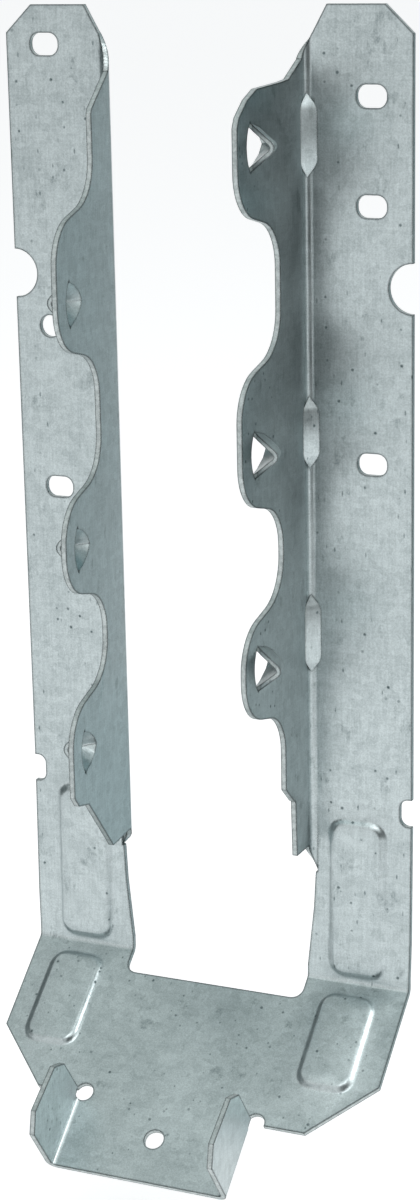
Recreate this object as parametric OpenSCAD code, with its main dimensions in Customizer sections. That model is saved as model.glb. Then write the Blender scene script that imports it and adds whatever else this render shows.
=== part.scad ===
// Joist hanger, folded from one galvanised sheet: two nailing plates stand against
// the header, a wavy side flange is folded forward from each, and a seat with two
// upright ears is folded forward at the bottom. One sheet, so one solid.
//
// Frame: the header's face is the plane y = 0 and the front is -Y. z = 0 is the
// fold line of the seat and x = 0 is midway between the plates.

/* [Overall] */
// Width over both plates
body_w = 99.1; // [85:0.1:120]
// Height from the seat fold to the top
body_h = 230.9; // [215:0.1:260]
// Sheet thickness
sheet_t = 1.3; // [1:0.05:1.6]
// Bevel at the top outer corners, across and down
top_bevel = [6.5, 6.3]; // [3:0.1:9]
// Half width at which the top edge starts to slope down to the flanges
top_in = 29.5; // [28:0.1:34]
// Slope of that edge, down per mm across
top_slope = 1.8; // [1.2:0.05:2.2]

/* [Joist pocket] */
// Clear width between the side flanges
pocket_w = 46; // [38:0.5:52]
// Inward lean of each side flange in degrees
lean = 2; // [0:0.5:4]
// Inner radius of the folds
fold_r = 1.8; // [1:0.1:2.5]

/* [Wavy edge] */
// Depth of the right flange at its lobes
lobe_d = 36.5; // [32:0.1:42]
// Depth of the right flange in its hollows
hollow_d = 14.8; // [12:0.1:18]
// Radius of each shoulder arc
wave_r = 10.76; // [9:0.1:10.8]
// Slope of each shoulder in degrees from the upright
wave_a = 75.8; // [65:0.5:84]
// Height of the topmost shoulder
wave_z = 186.5; // [180:0.1:205]
// Spacing of the upper shoulders
wave_long = 31.8; // [29:0.1:34]
// Spacing of the lower shoulders
wave_short = 24.6; // [24:0.1:28]

/* [Flange ends] */
// Height of the lowest end of each free edge
edge_end = [51.5, 52.8]; // [49:0.1:60]
// Height of the flange feet, left and right
foot_z = [32.4, 34.2]; // [31:0.1:38]

/* [Nail hoods] */
// Heights of the left hoods, top to bottom
hoods_l = [166.7, 110, 60.9]; // [55:0.1:200]
// Heights of the right hoods, top to bottom
hoods_r = [202.5, 135.8, 86.8]; // [55:0.1:210]
// Distance from the lobe's edge to a hood's mouth
hood_in = 6.6; // [5:0.1:9]
// Half width of the mouth
hood_w = 5.3; // [4:0.1:6.5]
// Outer height of the hoods, left and right
hood_h = [4.3, 5.6]; // [3:0.1:6.5]
// Length from mouth to tip, left and right
hood_l = [8.4, 10.6]; // [7:0.1:12]

/* [Corner darts] */
// Heights of the middle of the darts
darts = [202.5, 135.2, 87.2]; // [60:0.1:210]
// Half length of each dart
dart_l = [9.3, 8.4, 9.5]; // [6:0.1:12]
// Leg of the dart's facet
dart_w = 2.8; // [2.2:0.1:3.6]

/* [Nail holes in the plates] */
// Distance of the slots from the middle
slot_x = 39.9; // [37:0.1:43]
// Slot length and width
slot = [7.1, 5.1]; // [4:0.1:9]
// Corner radius of the slots
slot_r = 2.3; // [1:0.1:2.5]
// Heights of the left slots
slots_l = [222, 117.6]; // [60:0.1:225]
// Heights of the right slots
slots_r = [211.1, 187, 128.5]; // [60:0.1:225]
// Round hole in the left plate, across and up
nail_at = [-40.9, 156.6]; // [-160:0.1:160]
// Diameter of the round hole
nail_d = 5.2; // [4:0.1:6]

/* [Edge notches] */
// Height of the large notches
notch_z = 169; // [150:0.1:180]
// Radius of the large notches
notch_r = 5.7; // [4:0.1:7]
// Height of the small notches
tab_z = 44.9; // [43.5:0.1:60]
// Small notch height and depth
tab = [6.7, 2.9]; // [2:0.1:9]
// Corner radius of the small notches
tab_r = 2.1; // [1:0.1:2.8]

/* [Lower plates] */
// Height of the soft bend across the plates
knee_z = 48.6; // [48.5:0.1:60]
// Forward lean of the lower plates in degrees
knee_a = 1.28; // [0.5:0.02:3]
// Half width of the opening at the fold, and where it is widest
open_w = [23.4, 25.4]; // [20:0.1:30]
// Height at which the opening is widest
open_z = 27.3; // [20:0.1:30]

/* [Pressed panels] */
// Panel width
panel_w = 15.4; // [12:0.1:17]
// Middle of the panels from the middle of the hanger
panel_x = 36.1; // [34:0.1:38]
// Bottom and top of the upper panels
panel_up = [0.9, 42.2]; // [0.8:0.1:50]
// Near and far end of the seat panels
panel_low = [3, 30]; // [2:0.1:34]
// Rise of the panels
panel_h = 1.15; // [0.6:0.05:1.8]
// Width of the sloping wall
panel_s = 2.2; // [1.6:0.1:3]
// Outer corner radius
panel_r = 4.6; // [3.5:0.1:6]

/* [Seat] */
// Angle between the hanging plates' direction and the seat in degrees
seat_a = 53.6; // [30:0.1:90]
// Inner radius of the seat fold
seat_r = 1.3; // [0.8:0.1:1.6]
// Distance from the fold to the bottom of the opening
slot_v = 6.5; // [4:0.1:10]
// Corner radius of the opening
slot_c = 2.8; // [1:0.1:4]
// Distance from the fold to the outer corners
side_v = 26.2; // [20:0.1:32]
// Distance from the fold to the shoulders, and their half width
shoulder = [40.85, 34.7]; // [30:0.1:46]
// Distance from the fold to the front edge
front_v = 60.2; // [52:0.1:70]
// Nail hole in the seat, across and along
seat_hole = [-0.8, 49.2]; // [-1:0.1:52]
// Diameter of the nail hole
seat_d = 4.8; // [4:0.1:6]

/* [Ears] */
// Inner faces of the left and right ear from the middle
ear_in = [23.6, 20.2]; // [18:0.1:26]
// Inner radius of the ear folds
ear_r = 1.2; // [0.6:0.1:2]
// Height of the ears above the seat
ear_h = 18.1; // [14:0.1:24]
// Relief holes at the ear folds, across and along
relief = [22.3, 40.45]; // [20:0.1:44]
// Diameter of the relief holes
relief_d = 4.5; // [3:0.1:6]

/* [Hidden] */
$fn = 64;
half_w = body_w / 2;
ot = fold_r + sheet_t;
neutral = fold_r + 0.33 * sheet_t;           // radius of the unstretched layer
sweep = 90 - lean;                           // turn of each side fold
// the folds stand a hundredth proud of the flat sheet, which runs a little way into
// them, so that no two faces only touch
proud = 0.01;
lap = 0.1;

// side folds: middle of the arc, and where the flat flange begins
arc_s = (fold_r - ot * sin(lean)) / cos(lean);
arc_x = pocket_w / 2 + ot * cos(lean) - arc_s * sin(lean);
arc_y = -ot;
// both free edges come from one cut along the strip between the two side folds,
// so the two depths add up to the same length everywhere
both_d = 2 * arc_x + 2 * arc_s - 2 * neutral * sweep * PI / 180;

wave_zs = [wave_z, wave_z - wave_long, wave_z - 2 * wave_long,
           wave_z - 2 * wave_long - wave_short, wave_z - 2 * wave_long - 2 * wave_short];
// half height and straight length of one shoulder
wave_st = (lobe_d - hollow_d - 2 * wave_r * (1 - cos(wave_a))) / sin(wave_a);
wave_hz = wave_r * sin(wave_a) + wave_st * cos(wave_a) / 2;

// the four corners of a shoulder, downwards, on the right flange; s is 1 from
// lobe to hollow and -1 from hollow to lobe
function shoulder_pts(z, s) =
  let (k = wave_r * (1 - cos(wave_a)), q = wave_hz - wave_r * sin(wave_a),
       a = [[lobe_d, z + s * wave_hz], [lobe_d - k, z + s * q],
            [hollow_d + k, z - s * q], [hollow_d, z - s * wave_hz]])
  s > 0 ? a : [a[3], a[2], a[1], a[0]];
function wave_s(i) = i % 2 == 0 ? 1 : -1;
wave_pts = [for (i = [0:4]) each shoulder_pts(wave_zs[i], wave_s(i))];

// height of the plate's sloping top edge at x, and of each flange end at the fold
function slope_z(x) = body_h - top_slope * (top_in - x);
up_by = [0, body_h - 230.9];                 // the flange tops keep their distance from the top
fold_top = [217.45 - 0.753 * arc_s + up_by[1], 220.1 - 0.53 * arc_s + up_by[1]];

// seat fold
fold_a = seat_a - knee_a;
seat_s = seat_r * tan(fold_a / 2);           // tangent length of the fold
seat_w = half_w - 0.2;
seat_shift = -0.5;                           // the seat's panels sit a little to the left

// -------------------------------------------------------------------- frames
module on_plate() rotate([90, 0, 0]) children();
module lower() translate([0, 0, knee_z]) rotate([-knee_a, 0, 0]) translate([0, 0, -knee_z]) children();
// seat: local x across, -y away from the fold, z up from the seat's top
module on_seat() lower() translate([0, -sheet_t, 0]) rotate([90 - fold_a, 0, 0]) children();
// flange: local x forward from the plate's front, y up, z from one face to the other
module on_right() translate([pocket_w / 2 + sheet_t * cos(lean), -sheet_t * (1 + sin(lean)), 0])
  rotate([90, 0, 270 - lean]) children();
module on_left() translate([-pocket_w / 2, -sheet_t, 0]) rotate([90, 0, 270 + lean]) children();
module both_sides() for (s = [0, 1]) mirror([s, 0, 0]) children();
// a side view, drawn in y and z, run across x from a to b
module across(a, b) translate([a, 0, 0]) rotate([90, 0, 90]) linear_extrude(b - a) children();

// -------------------------------------------------------------------- plates
// front view of one plate, drawn on the right, top to seat fold
module plate_shape() polygon([
  [arc_x - lap, open_z], [open_w[1] + 0.1, open_z], [open_w[1], open_z - 1],
  [open_w[1] - 0.4, open_z - 9], [open_w[0], 3], [open_w[0], -5], [seat_w, -5], [seat_w, 3],
  [half_w, 12],
  [half_w, body_h - top_bevel[1]], [half_w - top_bevel[0], body_h],
  [top_in, body_h], [arc_x - lap, slope_z(arc_x - lap)]]);

// side view of the sheet above and below the knee: the two share the line of the
// bend on the back, and cross in front
module upper_side() polygon([
  [0, knee_z], [0, body_h + 1], [-sheet_t, body_h + 1], [-sheet_t, knee_z - 1.5]]);
module lower_side() polygon([
  [0, knee_z], [-sheet_t, knee_z + 1.5], [-sheet_t, seat_s - lap], [0, seat_s - lap]]);

module slot_cut(x, z) translate([x, z, -1]) linear_extrude(sheet_t + 2) union() {
  square([slot[0], slot[1] - 2 * slot_r], center = true);
  square([slot[0] - 2 * slot_r, slot[1]], center = true);
  for (i = [-1, 1], j = [-1, 1])
    translate([i * (slot[0] / 2 - slot_r), j * (slot[1] / 2 - slot_r)]) circle(r = slot_r, $fn = 32);
}

// small notch: a bite with round inner corners, open towards +x
module tab_cut() translate([half_w - tab[1], tab_z, -1]) linear_extrude(sheet_t + 3) union() {
  translate([tab_r, -tab[0] / 2]) square([8, tab[0]]);
  translate([0, -tab[0] / 2 + tab_r]) square([8, tab[0] - 2 * tab_r]);
  for (j = [-1, 1]) translate([tab_r, j * (tab[0] / 2 - tab_r)]) circle(r = tab_r, $fn = 32);
}

module plates() difference() {
  intersection() {
    union() {
      across(-half_w - 1, half_w + 1) upper_side();
      lower() across(-half_w - 1, half_w + 1) lower_side();
    }
    translate([0, 2, 0]) on_plate() both_sides() linear_extrude(sheet_t + 5) plate_shape();
  }
  on_plate() {
    for (z = slots_l) slot_cut(-slot_x, z);
    for (z = slots_r) slot_cut(slot_x, z);
    translate([nail_at[0], nail_at[1], -1]) cylinder(d = nail_d, h = sheet_t + 2, $fn = 48);
    for (s = [-1, 1]) translate([s * half_w, notch_z, -1]) cylinder(r = notch_r, h = sheet_t + 2);
    both_sides() tab_cut();
  }
}

// -------------------------------------------------------------- side flanges
module right_flange() on_right() difference() {
  union() {
    linear_extrude(sheet_t) polygon(concat(
      [[arc_s - lap, foot_z[1]], [arc_s - lap, fold_top[1]], [9, 215.3] + up_by, [13, 215] + up_by,
       [26, 214.5] + up_by, [31, 212.5] + up_by, [35.4, 209.2] + up_by, [lobe_d, 207] + up_by],
      wave_pts,
      [[hollow_d, edge_end[1]], [10.2, 48.5], [9.3, 48.1], [8.7, foot_z[1]]]));
    for (i = [0:4]) translate([lobe_d - wave_r, wave_zs[i] + wave_s(i) * wave_hz, 0])
      cylinder(r = wave_r, h = sheet_t);
  }
  for (i = [0:4]) translate([hollow_d + wave_r, wave_zs[i] - wave_s(i) * wave_hz, -1])
    cylinder(r = wave_r, h = sheet_t + 2);
}

module left_flange() on_left() difference() {
  union() {
    linear_extrude(sheet_t) polygon(concat(
      [[arc_s - lap, foot_z[0]], [arc_s - lap, fold_top[0]], [both_d - lobe_d - 0.6, 208.6] + up_by,
       [both_d - lobe_d, 207.6] + up_by],
      [for (p = wave_pts) [both_d - p[0], p[1]]],
      [[both_d - hollow_d, edge_end[0]], [31.6, 48.8], [26, 47.4], [12.4, foot_z[0] - 0.4]]));
    for (i = [0:4]) translate([both_d - hollow_d - wave_r, wave_zs[i] - wave_s(i) * wave_hz, 0])
      cylinder(r = wave_r, h = sheet_t);
  }
  for (i = [0:4]) translate([both_d - lobe_d + wave_r, wave_zs[i] + wave_s(i) * wave_hz, -1])
    cylinder(r = wave_r, h = sheet_t + 2);
}

// side fold: a quarter tube from the plate to the flange
module side_fold(s, z0, z1) translate([s * arc_x, arc_y, z0])
  rotate([0, 0, s > 0 ? 90 : lean]) rotate_extrude(angle = sweep)
    translate([fold_r - proud, 0]) square([sheet_t + 2 * proud, z1 - z0]);

// a cutter round a side fold whose face runs from height a at the plate to
// height b at the flange; up = 1 clears what is above it, -1 what is below
module fold_ramp(s, a, b, up) {
  n = 14;
  far = up > 0 ? body_h + 5 : 10;
  r0 = fold_r - 0.5;
  r1 = fold_r + sheet_t + 0.5;
  turned = [for (i = [0:n]) (i - 1) / (n - 2)];        // a little past both ends of the fold
  ang = [for (t = turned) 90 + s * sweep * t];
  hts = [for (t = turned) a + (b - a) * t];
  pts = [for (i = [0:n]) each [
    [r0 * cos(ang[i]), r0 * sin(ang[i]), hts[i]], [r1 * cos(ang[i]), r1 * sin(ang[i]), hts[i]],
    [r1 * cos(ang[i]), r1 * sin(ang[i]), far], [r0 * cos(ang[i]), r0 * sin(ang[i]), far]]];
  side = [for (i = [0:n - 1]) each [for (k = [0:3]) let (p = 4 * i, q = 4 * i + 4, m = (k + 1) % 4)
    each [[p + k, p + m, q + m], [p + k, q + m, q + k]]]];
  caps = [[3, 2, 1, 0], [4 * n, 4 * n + 1, 4 * n + 2, 4 * n + 3]];
  faces = concat(side, caps);
  out = s * up > 0 ? faces : [for (f = faces) [for (k = [len(f) - 1:-1:0]) f[k]]];
  translate([s * arc_x, arc_y, 0]) polyhedron(points = pts, faces = out, convexity = 4);
}

module side_folds() difference() {
  union() for (i = [0, 1]) let (s = i == 0 ? -1 : 1) difference() {
    side_fold(s, open_z - 0.05, slope_z(arc_x) + 0.5);
    fold_ramp(s, slope_z(arc_x) + 0.05, fold_top[i] + 0.05, 1);
    fold_ramp(s, open_z - 0.05, foot_z[i] - 0.05, -1);
  }
  // below the knee the back follows the lower plates
  lower() across(-half_w, half_w) polygon([[0, knee_z], [0, 10], [4, 10], [4, knee_z + 1]]);
}

// ---------------------------------------------------------------- nail hoods
// A hood is lanced from the flange and pushed outwards: half a cone with its mouth
// towards the free edge and its tip towards the fold. Local x runs forward along
// the flange, y up, and z out from the outer face.
hood_wall = 0.95;
function hood_a(h) = atan(h / hood_w) + 4.5;                       // slope of the sides
// round-topped arch of height h, with sides of slope a that reach down to z = lo
function arch(h, peak, a, lo) = let (r = (peak - h) / (1 / cos(a) - 1), y = (peak - lo) / tan(a))
  concat([[y, lo]],
    [for (k = [-4:4]) [r * sin(-k * a / 4), peak - r / cos(a) + r * cos(k * a / 4)]],
    [[-y, lo]]);

// a scoop: the arch shrinks towards a tip at the foot of its middle, slowly at
// first; it starts at x and is l long
taper = [[0, 1], [0.45, 0.76], [0.8, 0.42], [1, 0]];
module scoop(arch, x, l) {
  n = len(arch);
  foot = arch[0][1];
  function at(t, p) = [x - l * t[0], p[0] * t[1], foot + (p[1] - foot) * t[1]];
  polyhedron(
    points = concat([for (t = [taper[0], taper[1], taper[2]], p = arch) at(t, p)],
      [at(taper[3], arch[0])]),
    faces = concat([[for (i = [n - 1:-1:0]) i]],
      [for (k = [0, n], i = [0:n - 1]) let (j = (i + 1) % n) [k + i, k + j, k + n + j, k + n + i]],
      [for (i = [0:n - 1]) [2 * n + i, 2 * n + (i + 1) % n, 3 * n]]), convexity = 3);
}

module hood_add(h, l) let (a = hood_a(h)) scoop(arch(h, hood_w * tan(a), a, -0.4), 0, l);

module hood_cut(h, l) {
  a = hood_a(h);
  hi = h - hood_wall;
  scoop(arch(hi, hood_w * tan(a) - hood_wall / cos(a), a, -sheet_t - 0.3), 0.4, l - 1.1);
  // the lanced line bows towards the free edge
  bow = 1.8;
  rc = (hood_w * hood_w + bow * bow) / (2 * bow);
  intersection() {
    translate([bow - rc, 0, -sheet_t - 1]) cylinder(r = rc, h = sheet_t + 1.5);
    translate([-0.2, -10, -sheet_t - 2]) cube([10, 20, sheet_t + 3]);
  }
}

module at_hoods_r() on_right() mirror([0, 0, 1])
  for (z = hoods_r) translate([lobe_d - hood_in, z, 0]) children();
module at_hoods_l() on_left()
  for (z = hoods_l) translate([both_d - hollow_d - hood_in, z, sheet_t]) children();

// --------------------------------------------------------------------- darts
// Stiffening darts pressed across the right side fold. Points are drawn in the
// corner's own directions: a out along the plate, b forward along the flange.
function corner(a, b, z) =
  [pocket_w / 2 + sheet_t / cos(lean) + a - b * sin(lean), -sheet_t - b * cos(lean), z];
// A flat facet across the corner, w along each leg and 2 half high, with a pointed
// end above and below that meets the fold at (m, m); q is how deep the solid's
// other faces lie
module dart(z, half, tall, w, m, q) polyhedron(points = [
    corner(w - q, q, z + half), corner(q, w - q, z + half),
    corner(q, w - q, z - half), corner(w - q, q, z - half),
    corner(m, m, z + tall), corner(m, m, z - tall), corner(q, q, z + tall), corner(q, q, z - tall)],
  faces = [[3, 2, 1, 0], [0, 1, 4], [5, 2, 3], [4, 6, 0], [1, 6, 4], [3, 7, 5], [5, 7, 2],
           [0, 6, 7, 3], [2, 7, 6, 1]]);
dart_e = 3.6;                                // height of a pointed end
fold_mid = fold_r - fold_r / sqrt(2);        // the fold's middle, from the corner
back_mid = fold_r - ot / sqrt(2);
module darts_add() for (i = [0:2])
  dart(darts[i], dart_l[i] - dart_e, dart_l[i], dart_w, fold_mid + 0.05, -0.3);
module darts_cut() for (i = [0:2])
  dart(darts[i], dart_l[i] - dart_e, dart_l[i], dart_w - sheet_t * sqrt(2), back_mid - 0.05,
    -sheet_t - 0.4);

// ------------------------------------------------------------- pressed panels
// A raised panel with softly rounded walls, drawn on z = 0: rings of a rounded
// rectangle, each further in and higher than the last
wall_a = 2 * atan(panel_h / panel_s);
wall_r = panel_s / (2 * sin(wall_a));
wall_up = [for (i = [0:2]) let (a = wall_a * i / 2) [wall_r * sin(a), wall_r * (1 - cos(a))]];
sink = 0.03;                                 // the panel's foot starts this far inside the sheet
wall = concat([[0, -0.4]], [for (p = wall_up) [p[0], p[1] - sink]],
              [for (i = [1:-1:0]) [panel_s - wall_up[i][0], panel_h - wall_up[i][1] - sink]]);
module panel(l) {
  m = 5;                                     // steps round each corner
  mid = [panel_w / 2 - panel_r, l / 2 - panel_r];
  corners = [[1, 1], [-1, 1], [-1, -1], [1, -1]];
  ring_n = 4 * (m + 1);
  pts = [for (w = wall, k = [0:3], j = [0:m]) let (a = 90 * (k + j / m), r = panel_r - w[0])
    [corners[k][0] * mid[0] + r * cos(a), corners[k][1] * mid[1] + r * sin(a), w[1]]];
  last = ring_n * (len(wall) - 1);
  bands = [for (i = [0:len(wall) - 2], j = [0:ring_n - 1]) let (o = i * ring_n, k = (j + 1) % ring_n)
    [o + j, o + ring_n + j, o + ring_n + k, o + k]];
  polyhedron(points = pts, faces = concat(bands, [[for (j = [0:ring_n - 1]) j]],
    [[for (j = [ring_n - 1:-1:0]) last + j]]), convexity = 2);
}
module at_upper_panels() lower() on_plate() both_sides()
  translate([panel_x, (panel_up[0] + panel_up[1]) / 2, 0]) children();
module at_seat_panels() on_seat() translate([seat_shift, 0, 0]) both_sides()
  translate([panel_x, -(panel_low[0] + panel_low[1]) / 2, 0]) children();

// ---------------------------------------------------------------------- seat
module seat_folds() lower() both_sides() translate([open_w[0], -sheet_t - seat_r, seat_s])
  rotate([90, 0, 90]) rotate([0, 0, -fold_a]) rotate_extrude(angle = fold_a)
    translate([seat_r - proud, 0]) square([sheet_t + 2 * proud, seat_w - open_w[0]]);

fold_x = [ear_in[0] - ear_r, ear_in[1] - ear_r];      // where the ear folds begin
rear_v = relief[1] - 0.35;                            // rear edge of the ears
step_x = [for (x = fold_x) max(relief[0], x + 0.6)];  // inside the relief holes
clear_x = [for (s = [0, 1]) max(step_x[s] + 0.5, ear_in[s] + sheet_t + 0.1)];
clear_v = rear_v - 0.3;                               // the shoulders end clear of the ears
module seat_plate() difference() {
  translate([0, 0, -sheet_t]) linear_extrude(sheet_t) polygon([
    [seat_w, lap - seat_s], [half_w - 0.4, -side_v], [shoulder[1], -shoulder[0]],
    [clear_x[1], -shoulder[0]], [clear_x[1], -clear_v], [step_x[1], -clear_v],
    [step_x[1], -rear_v], [fold_x[1] + lap, -rear_v], [fold_x[1] + lap, -front_v],
    [-fold_x[0] - lap, -front_v], [-fold_x[0] - lap, -rear_v], [-step_x[0], -rear_v],
    [-step_x[0], -clear_v], [-clear_x[0], -clear_v], [-clear_x[0], -shoulder[0]],
    [-shoulder[1], -shoulder[0]], [-half_w + 0.4, -side_v],
    [-seat_w, lap - seat_s], [-open_w[0], lap - seat_s], [-open_w[0], -slot_v + slot_c],
    [-open_w[0] + slot_c, -slot_v + slot_c], [-open_w[0] + slot_c, -slot_v],
    [open_w[0] - slot_c, -slot_v], [open_w[0] - slot_c, -slot_v + slot_c],
    [open_w[0], -slot_v + slot_c], [open_w[0], lap - seat_s]]);
  for (s = [-1, 1]) translate([s * (open_w[0] - slot_c), -slot_v + slot_c, -sheet_t - 1])
    cylinder(r = slot_c, h = sheet_t + 2, $fn = 48);
  translate([seat_hole[0], -seat_hole[1], -sheet_t - 1]) cylinder(d = seat_d, h = sheet_t + 2, $fn = 48);
}

// one ear with its fold, on the side s
module ear(s) {
  x = s > 0 ? ear_in[1] : ear_in[0];
  translate([s > 0 ? x : -x - sheet_t, 0, 0]) rotate([90, 0, 90]) linear_extrude(sheet_t) polygon([
    [-rear_v, ear_r - lap], [-rear_v, ear_h - 5], [-rear_v - 3.2, ear_h - 1], [-front_v + 4.6, ear_h],
    [-front_v + 0.3, ear_h - 3.8], [-front_v, ear_r - lap]]);
  translate([s * (x - ear_r), 0, ear_r]) rotate([90, 0, 0]) rotate([0, 0, s > 0 ? 270 : 180])
    rotate_extrude(angle = 90) translate([ear_r - proud, rear_v])
      square([sheet_t + 2 * proud, front_v - rear_v]);
}

module seat() on_seat() difference() {
  union() {
    seat_plate();
    ear(-1);
    ear(1);
  }
  for (s = [-1, 1]) translate([s * relief[0], -relief[1], -sheet_t - 1])
    cylinder(d = relief_d, h = sheet_t + 1 + ear_r, $fn = 48);
}

// ------------------------------------------------------------------- assembly
module hanger() { color("silver") difference() {
  union() {
    plates();
    side_folds();
    difference() {
      union() {
        right_flange();
        at_hoods_r() hood_add(hood_h[1], hood_l[1]);
      }
      at_hoods_r() hood_cut(hood_h[1], hood_l[1]);
    }
    difference() {
      union() {
        left_flange();
        at_hoods_l() hood_add(hood_h[0], hood_l[0]);
      }
      at_hoods_l() hood_cut(hood_h[0], hood_l[0]);
    }
    darts_add();
    seat_folds();
    seat();
    at_upper_panels() translate([0, 0, sheet_t]) panel(panel_up[1] - panel_up[0]);
    at_seat_panels() panel(panel_low[1] - panel_low[0]);
  }
  darts_cut();
  at_upper_panels() panel(panel_up[1] - panel_up[0]);
  at_seat_panels() translate([0, 0, -sheet_t]) panel(panel_low[1] - panel_low[0]);
} }

hanger();
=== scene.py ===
import math

import bpy
from mathutils import Matrix, Vector
from mathutils.bvhtree import BVHTree


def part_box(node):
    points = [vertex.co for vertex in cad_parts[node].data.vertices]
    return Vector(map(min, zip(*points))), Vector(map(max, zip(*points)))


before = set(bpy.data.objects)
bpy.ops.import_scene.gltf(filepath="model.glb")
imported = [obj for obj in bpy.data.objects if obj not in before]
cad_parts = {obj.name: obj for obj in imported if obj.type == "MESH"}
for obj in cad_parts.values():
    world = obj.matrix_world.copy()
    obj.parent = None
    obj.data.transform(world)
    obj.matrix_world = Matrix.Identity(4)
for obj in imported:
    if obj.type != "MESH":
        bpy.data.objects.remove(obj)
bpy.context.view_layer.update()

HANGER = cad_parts["hanger"]
LOW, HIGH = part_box("hanger")

WHITE = (1, 1, 1, 1)

# ------------------------------------------ the camera: metres, degrees and mm
CAMERA_AT = (0.22565, -0.52649, 0.25381)
CAMERA_YAW = 23.349
CAMERA_DOWN = 15.726
CAMERA_ROLL = -1.161
CAMERA_LENS = 74.88
SENSOR_WIDTH = 36
NEAREST_SEEN = 0.01

# ------------------------------------------------------------------- the metal
SHEET = 0.0013                         # the sheet's thickness
PROBE_START = SHEET * 0.05             # a probe into a face starts this deep, and if
PROBE_REACH = SHEET * 1.6              # all of this reach is metal, the face is sheared
SAME_POINT = 1e-6                      # corners this near are one
SHARP_EDGE = 28                        # degrees: rounds turn less from face to face
BUMP_STRENGTH = 0.12
BUMP_HEIGHT = 0.0002
EDGE_DIRT_AND_PAINTED_SHADE = (0.035, 0.045, 0.045, 1)   # dirt along every edge, and painted shade of its rolled rim
EDGE_SHARE = 0.95                      # how much of the metal it covers there
EDGE_TURN = (0.88, 0.99)               # cosines of turn at which it is full and gone
EDGE_SAMPLES = 6

# ------------------------------------------------------------------- the floor
FLOOR_DROP = 0.030                     # the floor lies this far under the hanger
GROUND = LOW[2] - FLOOR_DROP
FLOOR_SIZE = 60.0
FLOOR_COLOUR = (0.82, 0.82, 0.82, 1)
FLOOR_LIFT = 0.58                      # what makes the lit floor look white

# ------ cards that only the metal mirrors: three corners in turn, and the colour
CARDS = {
    "front_card": ((0.10, -0.55, GROUND), (0.90, -0.55, GROUND), (0.90, -0.55, 0.50),
                   (0.016, 0.026, 0.026, 1)),
    "side_card": ((0.90, -0.55, GROUND), (2.20, -0.55, GROUND), (2.20, -0.55, 0.60),
                  (0.07, 0.09, 0.09, 1)),
    "back_card": ((0.13, 0.40, GROUND), (1.10, 0.40, GROUND), (1.10, 0.40, 0.90),
                  (0.17, 0.29, 0.31, 1)),
    "left_card": ((-0.75, -0.85, GROUND), (-0.75, 0.90, GROUND), (-0.75, 0.90, 0.60),
                  (0.26, 0.29, 0.29, 1)),
    "low_card": ((-0.03, 0.03, GROUND + 0.002), (0.35, 0.03, GROUND + 0.002),
                 (0.35, 0.38, GROUND + 0.002), (0.72, 0.84, 0.86, 1)),
}

# ------------------------------------------------------------------- the light
SKY_LIT = (0.94, 0.98, 1.0, 1)         # the world's light on what isn't a mirror
SKY_STRENGTH = 0.45
OVERHEAD = (0.68, 0.74, 0.73, 1)       # the studio's ceiling, which the seat mirrors
CEILING_FROM = 0.3                     # it comes in above this sine of the elevation
LAMPS = {                              # where each softbox is, its side and its watts
    "key": ((0.35, -0.95, 1.2), 1.0, 7),
    "top right": ((1.0, 0.05, 0.85), 0.5, 4),
}


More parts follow.
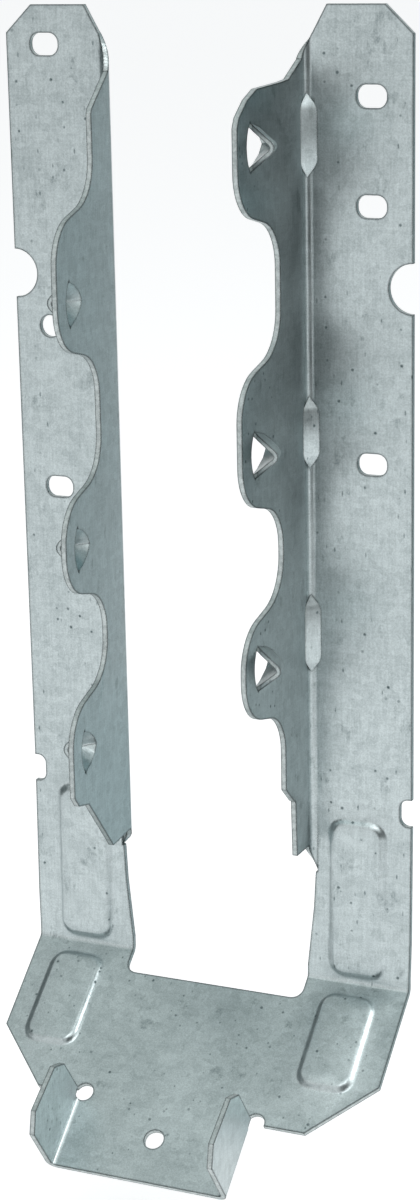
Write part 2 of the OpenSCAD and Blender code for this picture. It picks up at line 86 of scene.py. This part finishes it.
# ---------------------------------------------------------------- node helpers
class Nodes:
    """Short names for the node tree of one material or world."""

    def __init__(self, owner):
        owner.use_nodes = True
        self.tree = owner.node_tree
        self.tree.nodes.clear()

    def add(self, kind, **settings):
        node = self.tree.nodes.new(kind)
        for name, value in settings.items():
            setattr(node, name, value)
        return node

    def feed(self, socket, value):
        """Links an output to the socket, or sets the socket's own number or colour."""
        if isinstance(value, bpy.types.NodeSocket):
            self.tree.links.new(value, socket)
        else:
            socket.default_value = value

    def math(self, operation, a, b, clamp=False):
        node = self.add("ShaderNodeMath", operation=operation, use_clamp=clamp)
        self.feed(node.inputs[0], a)
        self.feed(node.inputs[1], b)
        return node.outputs[0]

    def ramp(self, value, low, high, to_low=0.0, to_high=1.0):
        """A smooth step from to_low to to_high as value goes from low to high."""
        node = self.add("ShaderNodeMapRange", interpolation_type="SMOOTHSTEP")
        for socket, number in zip(node.inputs, (value, low, high, to_low, to_high)):
            self.feed(socket, number)
        return node.outputs["Result"]

    def swing(self, value, size, low=0.3, high=0.7):
        """From -size to size. Most of a noise lies between 0.3 and 0.7."""
        return self.ramp(value, low, high, -size, size)

    def mix(self, share, a, b):
        node = self.add("ShaderNodeMix", data_type="RGBA")
        self.feed(node.inputs["Factor"], share)
        self.feed(node.inputs["A"], a)
        self.feed(node.inputs["B"], b)
        return node.outputs["Result"]

    def stretched(self, place, scale):
        """The place with each axis scaled: below 1 draws a pattern out along it."""
        node = self.add("ShaderNodeMapping")
        self.feed(node.inputs["Vector"], place)
        self.feed(node.inputs["Scale"], scale)
        return node.outputs["Vector"]

    def noise(self, place, scale, detail=2.0, rough=0.5):
        node = self.add("ShaderNodeTexNoise")
        self.feed(node.inputs["Vector"], place)
        self.feed(node.inputs["Scale"], scale)
        self.feed(node.inputs["Detail"], detail)
        self.feed(node.inputs["Roughness"], rough)
        return node.outputs["Fac"]

    def cells(self, place, scale):
        """A random grey for each cell, and the distance from the cell's point."""
        node = self.add("ShaderNodeTexVoronoi")
        self.feed(node.inputs["Vector"], place)
        self.feed(node.inputs["Scale"], scale)
        grey = self.add("ShaderNodeSeparateColor")
        self.feed(grey.inputs[0], node.outputs["Color"])
        return grey.outputs[0], node.outputs["Distance"]

    def specks(self, place, scale, fade, chosen):
        """A speck in some of the cells. Fade is the distances at which it starts to
        fade and is gone, and chosen the greys at which a cell starts to have one and
        has it in full."""
        grey, distance = self.cells(place, scale)
        return self.math("MULTIPLY", self.ramp(distance, *fade, 1, 0), self.ramp(grey, *chosen))

    def darken(self, tone, mark, depth, clamp=False):
        return self.math("SUBTRACT", tone, self.math("MULTIPLY", mark, depth), clamp)

    def near_edge(self, reach):
        """How much of the edge line shows, which is dirt and painted shade: it lies within
        reach of an edge, where a rounded edge would turn away."""
        rounded = self.add("ShaderNodeBevel", samples=EDGE_SAMPLES)
        self.feed(rounded.inputs["Radius"], reach)
        along = self.add("ShaderNodeVectorMath", operation="DOT_PRODUCT")
        self.feed(along.inputs[0], rounded.outputs["Normal"])
        self.feed(along.inputs[1], self.add("ShaderNodeNewGeometry").outputs["Normal"])
        return self.ramp(along.outputs["Value"], *EDGE_TURN, EDGE_SHARE, 0.0)

    def seen_ray(self):
        """1 for what the camera sees, directly, in a reflection or through glass."""
        path = self.add("ShaderNodeLightPath").outputs
        direct = self.math("ADD", path["Is Camera Ray"], path["Is Glossy Ray"])
        return self.math("ADD", direct, path["Is Transmission Ray"], clamp=True)


# ------------------------------------------------------------------- materials
def metal(name, dark, light, rough, reach, make_tone):
    """A metal whose colour runs from dark to light and whose relief is a fine bump.
    make_tone gives its tone, its extra roughness and its height. Within reach of an
    edge it darkens with dirt and painted shade."""
    steel = bpy.data.materials.new(name)
    n = Nodes(steel)
    place = n.add("ShaderNodeTexCoord").outputs["Object"]
    tone, dull, height = make_tone(n, place)
    bump = n.add("ShaderNodeBump")
    n.feed(bump.inputs["Strength"], BUMP_STRENGTH)
    n.feed(bump.inputs["Distance"], BUMP_HEIGHT)
    n.feed(bump.inputs["Height"], height)
    shader = n.add("ShaderNodeBsdfPrincipled")
    colour = n.mix(tone, dark, light)
    # the edges darken with dirt and with painted shade of their rolled rims
    n.feed(shader.inputs["Base Color"], n.mix(n.near_edge(reach), colour, EDGE_DIRT_AND_PAINTED_SHADE))
    n.feed(shader.inputs["Metallic"], 1.0)
    n.feed(shader.inputs["Roughness"], n.math("ADD", rough, dull))
    n.feed(shader.inputs["Normal"], bump.outputs["Normal"])
    n.feed(n.add("ShaderNodeOutputMaterial").inputs["Surface"], shader.outputs[0])
    return steel


def zinc_tone(n, place):
    """Rolled grain, faint spangle, soft blotches, stains and small dark pits."""
    grain = n.noise(n.stretched(place, (1, 1, 0.07)), scale=2100, detail=3)
    across = n.noise(n.stretched(place, (0.08, 0.08, 1)), scale=1500)
    blotch = n.noise(place, scale=60, detail=4, rough=0.6)
    spangle, _ = n.cells(place, scale=520)
    fine = n.noise(place, scale=3400)
    pit = n.specks(place, scale=340, fade=(0.06, 0.18), chosen=(0.55, 0.85))
    nick = n.specks(n.stretched(place, (1, 1, 0.38)), scale=520,
                    fade=(0.05, 0.17), chosen=(0.50, 0.85))
    cloud = n.noise(n.stretched(place, (1, 1, 0.55)), scale=260, detail=4, rough=0.65)
    stain = n.ramp(cloud, 0.60, 0.70)

    tone = n.math("ADD", 0.5, n.swing(grain, 0.035))
    tone = n.math("ADD", tone, n.swing(across, 0.02))
    tone = n.math("ADD", tone, n.swing(blotch, 0.045))
    tone = n.math("ADD", tone, n.swing(spangle, 0.04, low=0, high=1))
    tone = n.math("ADD", tone, n.swing(fine, 0.07))
    tone = n.darken(tone, pit, 0.42)
    tone = n.darken(tone, nick, 0.34)
    tone = n.darken(tone, stain, 0.15, clamp=True)
    dull = n.math("ADD", n.swing(blotch, 0.04), n.math("MULTIPLY", pit, 0.2))
    height = n.math("ADD", n.math("MULTIPLY", grain, 0.5), n.math("MULTIPLY", fine, 0.3))
    return tone, dull, n.darken(height, pit, 0.6)


def sheared_tone(n, place):
    """A sheared edge: rough, with short bright and dull stretches."""
    torn = n.noise(place, scale=900, detail=3, rough=0.6)
    fine = n.noise(place, scale=4200)
    stretches = n.ramp(torn, 0.35, 0.65, 0.25, 0.75)
    tone = n.math("ADD", stretches, n.swing(fine, 0.15), clamp=True)
    return tone, n.swing(torn, -0.06), n.math("MULTIPLY", torn, 0.6)


def pale_floor():
    """A plain floor that looks white to the camera and in the metal, and keeps the
    hanger's shadow: its own light only lifts what falls on it."""
    floor = bpy.data.materials.new("pale_floor")
    n = Nodes(floor)
    plain = n.add("ShaderNodeBsdfDiffuse")
    n.feed(plain.inputs["Color"], FLOOR_COLOUR)
    lift = n.add("ShaderNodeEmission")
    n.feed(lift.inputs["Color"], WHITE)
    n.feed(lift.inputs["Strength"], n.math("MULTIPLY", n.seen_ray(), FLOOR_LIFT))
    both = n.add("ShaderNodeAddShader")
    n.feed(both.inputs[0], plain.outputs[0])
    n.feed(both.inputs[1], lift.outputs[0])
    n.feed(n.add("ShaderNodeOutputMaterial").inputs["Surface"], both.outputs[0])
    return floor


def plain_paper(name, colour):
    paper = bpy.data.materials.new(name)
    n = Nodes(paper)
    plain = n.add("ShaderNodeBsdfDiffuse")
    n.feed(plain.inputs["Color"], colour)
    n.feed(n.add("ShaderNodeOutputMaterial").inputs["Surface"], plain.outputs[0])
    return paper


# ------------------------------------------------------------------ the hanger
def dress_hanger():
    zinc = metal("galvanised_steel", dark=(0.09, 0.125, 0.13, 1), light=(0.83, 0.91, 0.92, 1),
                 rough=0.34, reach=0.0009, make_tone=zinc_tone)
    sheared = metal("sheared_edge", dark=(0.34, 0.38, 0.38, 1), light=(0.58, 0.63, 0.63, 1),
                    rough=0.5, reach=0.0006, make_tone=sheared_tone)
    HANGER.data.materials.clear()
    HANGER.data.materials.append(zinc)
    HANGER.data.materials.append(sheared)
    mark_sheared_edges(HANGER)
    smooth_rounds(HANGER)


def mark_sheared_edges(piece):
    """Gives the second material to each face with metal behind it that is deeper
    than the sheet, as that face is a sheared edge."""
    mesh = piece.data
    tree = BVHTree.FromPolygons(
        [v.co for v in mesh.vertices], [p.vertices for p in mesh.polygons], epsilon=0)
    for polygon in mesh.polygons:
        start = polygon.center - polygon.normal * PROBE_START
        far_side = tree.ray_cast(start, -polygon.normal, PROBE_REACH)[0]
        polygon.material_index = 1 if far_side is None else 0


def smooth_rounds(piece):
    """Rounds shade smoothly and true edges stay sharp."""
    weld = piece.modifiers.new("weld", "WELD")
    weld.merge_threshold = SAME_POINT
    for polygon in piece.data.polygons:
        polygon.use_smooth = True
    split = piece.modifiers.new("sharp edges", "EDGE_SPLIT")
    split.split_angle = math.radians(SHARP_EDGE)


# ------------------------------------------------------------------- the stage
def flat_piece(name, corners, material):
    """One face with four corners, placed in the scene."""
    mesh = bpy.data.meshes.new(name)
    mesh.from_pydata(corners, [], [(0, 1, 2, 3)])
    mesh.materials.append(material)
    piece = bpy.data.objects.new(name, mesh)
    bpy.context.scene.collection.objects.link(piece)
    return piece


def lay_floor():
    half = FLOOR_SIZE / 2
    corners = [(x * half, y * half, GROUND) for x, y in ((-1, -1), (1, -1), (1, 1), (-1, 1))]
    floor = flat_piece("floor", corners, pale_floor())


def place_card(name, first, second, third, colour):
    """A plain card that only the metal mirrors, as in a product studio."""
    fourth = Vector(first) + Vector(third) - Vector(second)
    card = flat_piece(name, [first, second, third, fourth], plain_paper(name, colour))
    card.visible_camera = False
    card.visible_diffuse = False
    card.visible_shadow = False


def light_world():
    """An even studio light. The camera and the metal see it white, going over to the
    darker ceiling towards the top."""
    world = bpy.data.worlds.new("studio")
    bpy.context.scene.world = world
    n = Nodes(world)
    way = n.add("ShaderNodeSeparateXYZ")
    n.feed(way.inputs[0], n.add("ShaderNodeTexCoord").outputs["Generated"])
    seen = n.add("ShaderNodeBackground")
    ceiling = n.ramp(way.outputs["Z"], CEILING_FROM, 1.0)
    n.feed(seen.inputs["Color"], n.mix(ceiling, WHITE, OVERHEAD))
    lit = n.add("ShaderNodeBackground")
    n.feed(lit.inputs["Color"], SKY_LIT)
    n.feed(lit.inputs["Strength"], SKY_STRENGTH)
    swap = n.add("ShaderNodeMixShader")
    n.feed(swap.inputs[0], n.seen_ray())
    n.feed(swap.inputs[1], lit.outputs[0])
    n.feed(swap.inputs[2], seen.outputs[0])
    n.feed(n.add("ShaderNodeOutputWorld").inputs["Surface"], swap.outputs[0])


def hang_softbox(name, at, side, watts):
    """A square lamp turned to the hanger's middle."""
    lamp = bpy.data.lights.new(name, "AREA")
    lamp.shape = "RECTANGLE"
    lamp.size = lamp.size_y = side
    lamp.energy = watts
    holder = bpy.data.objects.new(name, lamp)
    holder.location = at
    aim = (Vector(LOW) + Vector(HIGH)) / 2 - Vector(at)
    holder.rotation_euler = aim.to_track_quat("-Z", "Y").to_euler()
    bpy.context.scene.collection.objects.link(holder)


def set_camera():
    data = bpy.data.cameras.new("camera")
    data.sensor_fit = "AUTO"
    data.sensor_width = SENSOR_WIDTH
    data.lens = CAMERA_LENS
    data.clip_start = NEAREST_SEEN
    camera = bpy.data.objects.new("camera", data)
    turn = Matrix.Rotation(math.radians(CAMERA_YAW), 4, "Z")
    tip = Matrix.Rotation(math.radians(90 - CAMERA_DOWN), 4, "X")
    roll = Matrix.Rotation(math.radians(CAMERA_ROLL), 4, "Z")
    camera.matrix_world = Matrix.Translation(CAMERA_AT) @ turn @ tip @ roll
    bpy.context.scene.collection.objects.link(camera)
    bpy.context.scene.camera = camera


bpy.context.scene.view_settings.view_transform = "Standard"
set_camera()
dress_hanger()
lay_floor()
for card_name, card_form in CARDS.items():
    place_card(card_name, *card_form)
light_world()
for lamp_name, lamp_form in LAMPS.items():
    hang_softbox(lamp_name, *lamp_form)
